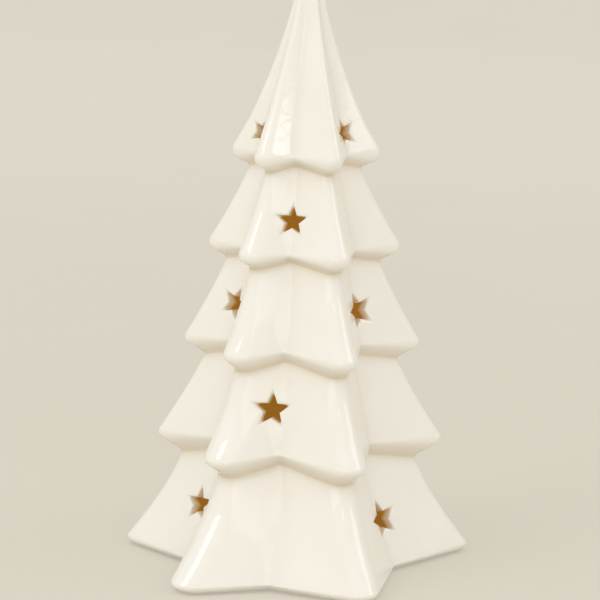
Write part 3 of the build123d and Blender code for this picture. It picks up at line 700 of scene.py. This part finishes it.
def make_tree():
    """The whole ceramic: outer skin, foot, socket and cavity in one closed mesh, cut by the stars."""
    skin = Skin()
    outside = outside_rows()
    foot = foot_rows()
    cavity = cavity_rows()
    loops = [skin.add_row(row) for row in (*outside, *foot, *cavity)]
    cavity_start = len(outside) + len(foot)
    surfaces = (skin.surface(loops[: len(outside)]), skin.surface(loops[cavity_start:]))
    outer_at = {(row.tier, row.share): number for number, row in enumerate(outside)}
    inner_at = {(row.tier, row.share): number for number, row in enumerate(cavity, cavity_start)}
    left_out = {}
    cuts = []
    for star in STARS:
        window = find_window(star, outside, cavity)
        window_loops = []
        for at in (outer_at, inner_at):
            numbers = [at[(star.tier, share)] for share in window.shares]
            for number in range(min(numbers), max(numbers)):
                columns = {column % COLUMNS for column in range(window.left, window.right)}
                left_out.setdefault(number, set()).update(columns)
            window_loops.append(window_loop([loops[number] for number in numbers], window))
        cuts.append((star, *window_loops))
    for number, (upper, lower) in enumerate(zip(loops, loops[1:])):
        skin.faces += loop_faces(upper, lower, left_out.get(number, ()))
    for star, outer_loop, inner_loop in cuts:
        cut_star(skin, star, outer_loop, inner_loop, surfaces)
    tip = skin.add(Vector((0, 0, TREE_HEIGHT)))
    # The cavity's peak is bare clay with the full painted glow
    peak = skin.add(Vector((0, 0, cavity[-1].points[0].z + CAVITY_PEAK)), bare=1.0, lit=1.0)
    for column in range(COLUMNS):
        ahead = (column + 1) % COLUMNS
        skin.faces.append((tip, loops[0][column], loops[0][ahead]))
        skin.faces.append((peak, loops[-1][ahead], loops[-1][column]))
    return skin.mesh("tree_ceramic")


# The felt's mesh


def felt_loop(outline, at_top, share):
    """A ring of the felt's top or underside, at a share of the way from its rim to its hole."""
    loop = []
    for point in outline:
        rim_wander = FELT_EDGE_WANDER * unit_noise(point)
        hole_wander = FELT_EDGE_WANDER * unit_noise(point * HOLE_WANDER_SCALE)
        rim_point = point * (1 - rim_wander / point.length)
        hole_point = point.normalized() * (FELT_HOLE + hole_wander)
        spot = rim_point.lerp(hole_point, share)
        shift = FUZZ_SHIFT if at_top else 0.0
        fuzz = unit_noise(Vector((spot.x, spot.y, shift)) * FUZZ_SCALE)
        height = FELT_THICKNESS - FELT_TOP_FUZZ * fuzz if at_top else FELT_FUZZ * fuzz
        loop.append(Vector((spot.x, spot.y, height)) * MM)
    return loop


def make_felt():
    """A die-cut felt ring with a fuzzy surface and slightly wandering edges."""
    points = inset_corners(corners(level_ring(foot_ring(FOOT_INSET), 0)), FELT_INSET)
    outline = rounded_outline(points, FELT_RIDGE_ROUNDS, FELT_VALLEY_ROUNDS)
    shares = [step / FELT_RINGS for step in range(FELT_RINGS + 1)]
    loops = [felt_loop(outline, False, share) for share in reversed(shares)]
    loops += [felt_loop(outline, True, share) for share in shares]
    numbers = [range(order * COLUMNS, (order + 1) * COLUMNS) for order in range(len(loops))]
    faces = []
    for order, loop in enumerate(numbers):
        following = numbers[(order + 1) % len(numbers)]
        for column in range(COLUMNS):
            ahead = (column + 1) % COLUMNS
            faces.append((loop[column], loop[ahead], following[ahead], following[column]))
    return smooth_mesh("felt_sheet", [point for loop in loops for point in loop], faces)


def add_piece(mesh, body, node):
    """A modelled mesh that stands for a node of the frame."""
    piece = bpy.data.objects.new(mesh.name, mesh)
    bpy.context.scene.collection.objects.link(piece)
    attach(piece, body)
    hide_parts(node)
    return piece


# Materials

SCREEN_WHITE = 255


def srgb(red, green, blue):
    """A colour given as 0 to 255 screen values, in the linear values that shaders take."""
    screen = Color([value / SCREEN_WHITE for value in (red, green, blue)])
    return (*screen.from_srgb_to_scene_linear(), 1.0)


BLACK = (0.0, 0.0, 0.0, 1.0)
WHITE = (1.0, 1.0, 1.0, 1.0)
IVORY = srgb(241, 236, 225)
PALE_IVORY = srgb(243, 239, 229)
# Warmer, darker colour of pooled glaze and painted shade
POOLED_GLAZE_AND_SHADE = srgb(224, 210, 184)
CLAY = srgb(196, 158, 104)
DARK_CLAY = srgb(176, 134, 80)
# Painted glow of the bare clay inside, standing in for light from the light unit
CAVITY_GLOW = srgb(148, 112, 42)
DARK_FELT = srgb(168, 152, 128)
PALE_FELT = srgb(206, 194, 172)
FELT_PATCH = srgb(186, 170, 142)
FROST = srgb(240, 236, 226)
PALE_FROST = srgb(250, 248, 242)
EPOXY = srgb(247, 229, 168)
PALE_EPOXY = srgb(252, 242, 204)
SOLDER_MASK = srgb(24, 88, 52)
PALE_MASK = srgb(34, 108, 64)
DARK_MASK = srgb(20, 76, 46)
PAPER = srgb(215, 209, 194)
PALE_PAPER = srgb(218, 212, 198)
LIT_PAPER = srgb(216, 210, 195)
PALE_LIT_PAPER = srgb(219, 213, 199)
# How much smoother and rougher than its mean a surface gets in places
PLASTIC_GLOSS = (-0.06, 0.08)
METAL_GLOSS = (-0.07, 0.10)
# Share of the backdrop's colour that doesn't depend on the lamps, near the tree and far from it
NEAR_GLOW = 0.6
FAR_GLOW = 1.0
GLOW_DISTANCES = (0.2, 0.9)  # metres from the tree between which that share grows


class Shader:
    """A material's node tree with short ways to add the nodes that repeat."""

    def __init__(self, name, values=()):
        self.material = bpy.data.materials.new(name)
        self.material.use_nodes = True
        self.tree = self.material.node_tree
        self.principled = self.tree.nodes["Principled BSDF"]
        for socket, value in dict(values).items():
            self.principled.inputs[socket].default_value = value
        coordinates = self.tree.nodes.new("ShaderNodeTexCoord")
        self.place = coordinates.outputs["Object"]

    def link(self, start, end):
        self.tree.links.new(start, end)

    def feed(self, output, socket):
        self.link(output, self.principled.inputs[socket])

    def noise(self, size, detail=2.0, stretch=(1, 1, 1), roughness=0.5):
        """Noise whose features are about that many millimetres across, stretched along the axes."""
        mapping = self.tree.nodes.new("ShaderNodeMapping")
        mapping.inputs["Scale"].default_value = [1 / (size * MM * s) for s in stretch]
        texture = self.tree.nodes.new("ShaderNodeTexNoise")
        texture.inputs["Scale"].default_value = 1.0
        texture.inputs["Detail"].default_value = detail
        texture.inputs["Roughness"].default_value = roughness
        self.link(self.place, mapping.inputs["Vector"])
        self.link(mapping.outputs["Vector"], texture.inputs["Vector"])
        return texture.outputs["Fac"]

    def spread(self, output, low, high, start=0.3, end=0.7):
        """A value mapped from a band of the input to low and high."""
        node = self.tree.nodes.new("ShaderNodeMapRange")
        node.inputs["From Min"].default_value = start
        node.inputs["From Max"].default_value = end
        node.inputs["To Min"].default_value = low
        node.inputs["To Max"].default_value = high
        self.link(output, node.inputs["Value"])
        return node.outputs["Result"]

    def mix(self, factor, first, second, kind="RGBA"):
        """Two colours mixed, or two numbers if kind is VALUE. Each may be a value or a node's output."""
        node = self.tree.nodes.new("ShaderNodeMix")
        node.data_type = "RGBA" if kind == "RGBA" else "FLOAT"
        self.link(factor, node.inputs["Factor"])
        for socket, value in (("A", first), ("B", second)):
            target = [i for i in node.inputs if i.name == socket and i.type == kind][0]
            if isinstance(value, (tuple, float)):
                target.default_value = value
            else:
                self.link(value, target)
        return [o for o in node.outputs if o.type == kind][0]

    def attribute(self, name):
        node = self.tree.nodes.new("ShaderNodeAttribute")
        node.attribute_name = name
        return node.outputs["Fac"]

    def distance(self):
        """Distance from the object's origin in metres."""
        node = self.tree.nodes.new("ShaderNodeVectorMath")
        node.operation = "LENGTH"
        self.link(self.place, node.inputs[0])
        return node.outputs["Value"]

    def seen(self):
        """1 for what the camera sees directly, in a reflection or through a clear piece, else 0."""
        path = self.tree.nodes.new("ShaderNodeLightPath")
        total = path.outputs["Is Camera Ray"]
        for name in ("Is Glossy Ray", "Is Transmission Ray"):
            node = self.tree.nodes.new("ShaderNodeMath")
            node.operation = "MAXIMUM"
            self.link(total, node.inputs[0])
            self.link(path.outputs[name], node.inputs[1])
            total = node.outputs["Value"]
        return total

    def bump(self, output, depth):
        """Relief of about that depth in millimetres."""
        node = self.tree.nodes.new("ShaderNodeBump")
        node.inputs["Distance"].default_value = depth * MM
        node.inputs["Strength"].default_value = 1.0
        self.link(output, node.inputs["Height"])
        self.feed(node.outputs["Normal"], "Normal")


def glaze_material():
    """Ivory glaze that is warmer where it pools, with painted shade in creases, valleys and under the
    tiers, over bare clay inside and underneath. The inside has a painted glow.
    """
    shader = Shader("ivory_glaze", {"IOR": 1.5, "Emission Strength": 0.5})
    tone = shader.spread(shader.noise(size=14, detail=3), low=0.0, high=1.0)
    ivory = shader.mix(tone, IVORY, PALE_IVORY)
    # Pooled glaze and painted shade as a warmer, darker colour
    glaze = shader.mix(shader.attribute("pool"), ivory, POOLED_GLAZE_AND_SHADE)
    clay = shader.mix(shader.noise(size=1.2, detail=4), CLAY, DARK_CLAY)
    bare = shader.attribute("bare")
    shader.feed(shader.mix(bare, glaze, clay), "Base Color")
    gloss = shader.spread(shader.noise(size=5, detail=3), low=0.04, high=0.08)
    clay_roughness = 0.85
    shader.feed(shader.mix(bare, gloss, clay_roughness, kind="VALUE"), "Roughness")
    # Painted glow inside the cavity and deep in the star cuts, standing in for the light unit's light
    shader.feed(shader.mix(shader.attribute("lit"), BLACK, CAVITY_GLOW), "Emission Color")
    shader.bump(shader.noise(size=3.2), depth=0.03)
    return shader.material


def felt_material():
    """Pressed wool felt: matted fibres in several browns."""
    shader = Shader("felt", {"Roughness": 1.0, "Sheen Weight": 0.4, "Sheen Roughness": 0.6})
    fibres = shader.noise(size=0.5, detail=6, roughness=0.7)
    patches = shader.spread(shader.noise(size=6), low=0.0, high=0.4)
    base = shader.mix(fibres, DARK_FELT, PALE_FELT)
    shader.feed(shader.mix(patches, base, FELT_PATCH), "Base Color")
    shader.bump(fibres, depth=0.25)
    return shader.material


def moulded_material(name, dark, light, roughness, grain=0.25, depth=0.02):
    """Moulded plastic with a fine spark-eroded grain."""
    shader = Shader(name)
    smoother, rougher = PLASTIC_GLOSS
    shader.feed(shader.mix(shader.noise(size=7, detail=3), srgb(*dark), srgb(*light)), "Base Color")
    gloss = shader.spread(shader.noise(size=2.5), low=roughness + smoother, high=roughness + rougher)
    shader.feed(gloss, "Roughness")
    shader.bump(shader.noise(size=grain, detail=1), depth)
    return shader.material


def frosted_material():
    """Frosted plastic that lets light through."""
    shader = Shader("frosted_plastic", {"Transmission Weight": 0.45, "IOR": 1.49})
    shader.feed(shader.mix(shader.noise(size=4, detail=3), FROST, PALE_FROST), "Base Color")
    shader.feed(shader.spread(shader.noise(size=1.5), low=0.42, high=0.58), "Roughness")
    shader.bump(shader.noise(size=0.2, detail=1), depth=0.02)
    return shader.material


def metal_material(name, dark, light, stretch, roughness):
    """Plated metal with fine drawn lines."""
    shader = Shader(name, {"Metallic": 1.0})
    smoother, rougher = METAL_GLOSS
    lines = shader.noise(size=0.5, detail=4, stretch=stretch)
    shader.feed(shader.mix(lines, srgb(*dark), srgb(*light)), "Base Color")
    shader.feed(shader.spread(lines, low=roughness + smoother, high=roughness + rougher), "Roughness")
    shader.bump(lines, depth=0.01)
    return shader.material


def epoxy_material():
    """Tinted clear epoxy over a phosphor."""
    shader = Shader("led_epoxy", {"Transmission Weight": 0.6, "IOR": 1.53})
    shader.feed(shader.mix(shader.noise(size=1.6), EPOXY, PALE_EPOXY), "Base Color")
    shader.feed(shader.spread(shader.noise(size=1.0), low=0.06, high=0.14), "Roughness")
    return shader.material


def board_material():
    """Green solder mask over a glass weave."""
    shader = Shader("board_laminate")
    along = shader.noise(size=0.6, stretch=(8, 1, 1))
    across = shader.noise(size=0.6, stretch=(1, 8, 1))
    weave = shader.mix(along, SOLDER_MASK, PALE_MASK)
    shader.feed(shader.mix(shader.spread(across, low=0.0, high=0.5), weave, DARK_MASK), "Base Color")
    shader.feed(shader.spread(across, low=0.3, high=0.42), "Roughness")
    shader.bump(along, depth=0.01)
    return shader.material


def paper_material():
    """Beige backdrop paper. Where it is seen, most of its colour doesn't depend on the lamps."""
    shader = Shader("sweep_paper", {"Roughness": 0.95})
    fibres = shader.noise(size=90, detail=4)
    near, far = GLOW_DISTANCES
    glow = shader.spread(shader.distance(), NEAR_GLOW, FAR_GLOW, start=near, end=far)
    own = shader.mix(shader.seen(), 0.0, glow, kind="VALUE")
    lit_paper = shader.mix(fibres, LIT_PAPER, PALE_LIT_PAPER)
    shader.feed(shader.mix(own, lit_paper, BLACK), "Base Color")
    shader.feed(shader.mix(fibres, PAPER, PALE_PAPER), "Emission Color")
    shader.feed(own, "Emission Strength")
    return shader.material


# How far a metal's drawn lines are stretched along each axis
ALONG_X = (6, 1, 1)
ALONG_Y = (1, 6, 1)
ALONG_Z = (1, 1, 6)
# Finish of each slot, with its dark and light colour in screen values
MATERIALS = {
    "white_plastic": moulded_material("white_plastic", (228, 226, 219), (237, 235, 229), roughness=0.42),
    "steel": metal_material("steel", (176, 176, 178), (210, 210, 212), ALONG_X, roughness=0.3),
    "silicone": moulded_material("silicone", (214, 214, 210), (226, 226, 222), roughness=0.62, grain=0.5),
    "frosted_plastic": frosted_material(),
    "led_epoxy": epoxy_material(),
    "tinned_wire": metal_material("tinned_wire", (190, 190, 188), (218, 218, 216), ALONG_Z, roughness=0.28),
    "board_laminate": board_material(),
    "resistor_coat": moulded_material(
        "resistor_coat", (210, 188, 146), (222, 202, 160), roughness=0.3, depth=0.005
    ),
    "black_plastic": moulded_material("black_plastic", (34, 34, 36), (46, 46, 48), roughness=0.45),
    "cell_can": metal_material("cell_can", (186, 187, 188), (216, 217, 218), ALONG_Y, roughness=0.24),
    "contact_nickel": metal_material(
        "contact_nickel", (184, 180, 172), (212, 209, 202), ALONG_X, roughness=0.26
    ),
}


def finish_nodes():
    """Give each node of the frame that stays in view its own finish."""
    for part in frame["record"]["subparts"]:
        material = MATERIALS.get(part["material_slot"])
        if material is None:
            continue
        node = frame["nodes"][part["node"]]
        node.data.materials.clear()
        node.data.materials.append(material)


# Stage, light and camera. The stage and the lamps are in metres.

FLOOR_FRONT = -7.0
FLOOR_BACK = 1.6
BACKDROP_BEND = 0.7
BACKDROP_TOP = 3.0
STAGE_HALF_WIDTH = 7.0
BEND_STEPS = 24
WORLD_STRENGTH = 0.89
# Lamps: bearing and elevation in degrees seen from the tree, distance, width and height, and power in watts
Softbox = namedtuple("Softbox", "name bearing elevation distance size power")
SOFTBOXES = (
    Softbox("key_softbox", 220, 40, 1.3, (0.55, 0.4), 2.7),
    Softbox("front_softbox", 280, 13, 1.5, (1.2, 0.5), 2.2),
    Softbox("window_softbox", 308.1, 24.4, 0.8, (0.08, 0.042), 0.04),
    Softbox("right_softbox", 2, 24, 1.2, (0.5, 0.4), 1.12),
)
# Camera fitted to the photo: place, lens and sensor in millimetres, heading and tilt in degrees
CAMERA_PLACE = (99.2, -769.3, 250.3)
CAMERA_HEADING = 97.35
CAMERA_PITCH = 11.74
CAMERA_ROLL = 1.73
CAMERA_LENS = 144.0
CAMERA_SENSOR = 36.0
CAMERA_SIGHT = 20.0  # metres to the furthest thing that it shows


def make_stage():
    """A seamless paper sweep: level floor, a round bend and an upright back."""
    profile = [(FLOOR_FRONT, 0.0)]
    for step in range(BEND_STEPS + 1):
        turn = pi / 2 * step / BEND_STEPS
        profile.append((FLOOR_BACK + BACKDROP_BEND * sin(turn), BACKDROP_BEND * (1 - cos(turn))))
    profile.append((FLOOR_BACK + BACKDROP_BEND, BACKDROP_TOP))
    points = [(side * STAGE_HALF_WIDTH, y, z) for y, z in profile for side in (-1, 1)]
    faces = [(2 * i, 2 * i + 1, 2 * i + 3, 2 * i + 2) for i in range(len(profile) - 1)]
    mesh = smooth_mesh("paper_sweep", points, faces)
    sweep = bpy.data.objects.new("paper_sweep", mesh)
    bpy.context.scene.collection.objects.link(sweep)
    mesh.materials.append(paper_material())


def add_softbox(softbox):
    """An area lamp that faces the middle of the tree."""
    target = (cad_low + cad_high) / 2
    elevation = radians(softbox.elevation)
    direction = polar(cos(elevation), softbox.bearing, sin(elevation))
    lamp = bpy.data.lights.new(softbox.name, "AREA")
    lamp.shape = "RECTANGLE"
    lamp.size, lamp.size_y = softbox.size
    lamp.energy = softbox.power
    holder = bpy.data.objects.new(softbox.name, lamp)
    holder.location = target + direction * softbox.distance
    holder.rotation_euler = (-direction).to_track_quat("-Z", "Y").to_euler()
    bpy.context.scene.collection.objects.link(holder)


def make_light():
    """Even white light from all round, with softboxes for the highlights."""
    world = bpy.data.worlds.new("studio")
    world.use_nodes = True
    background = world.node_tree.nodes["Background"]
    background.inputs["Color"].default_value = WHITE
    background.inputs["Strength"].default_value = WORLD_STRENGTH
    bpy.context.scene.world = world
    for softbox in SOFTBOXES:
        add_softbox(softbox)


def make_camera():
    """The photo's camera."""
    camera = bpy.data.cameras.new("photo_camera")
    camera.lens = CAMERA_LENS
    camera.sensor_width = CAMERA_SENSOR
    camera.clip_end = CAMERA_SIGHT
    holder = bpy.data.objects.new("photo_camera", camera)
    heading = radians(CAMERA_HEADING)
    pitch = radians(CAMERA_PITCH)
    forward = Vector((cos(heading) * cos(pitch), sin(heading) * cos(pitch), -sin(pitch)))
    turn = forward.to_track_quat("-Z", "Y").to_matrix().to_4x4()
    place = Matrix.Translation(Vector(CAMERA_PLACE) * MM)
    holder.matrix_world = place @ turn @ Matrix.Rotation(radians(CAMERA_ROLL), 4, "Z")
    bpy.context.scene.collection.objects.link(holder)
    bpy.context.scene.camera = holder


tree = add_piece(make_tree(), "tree", "tree_shell")
tree.data.materials.append(glaze_material())
felt = add_piece(make_felt(), "tree", "felt_base")
felt.data.materials.append(felt_material())
finish_nodes()
make_stage()
make_light()
make_camera()
bpy.context.scene.view_settings.view_transform = "Standard"
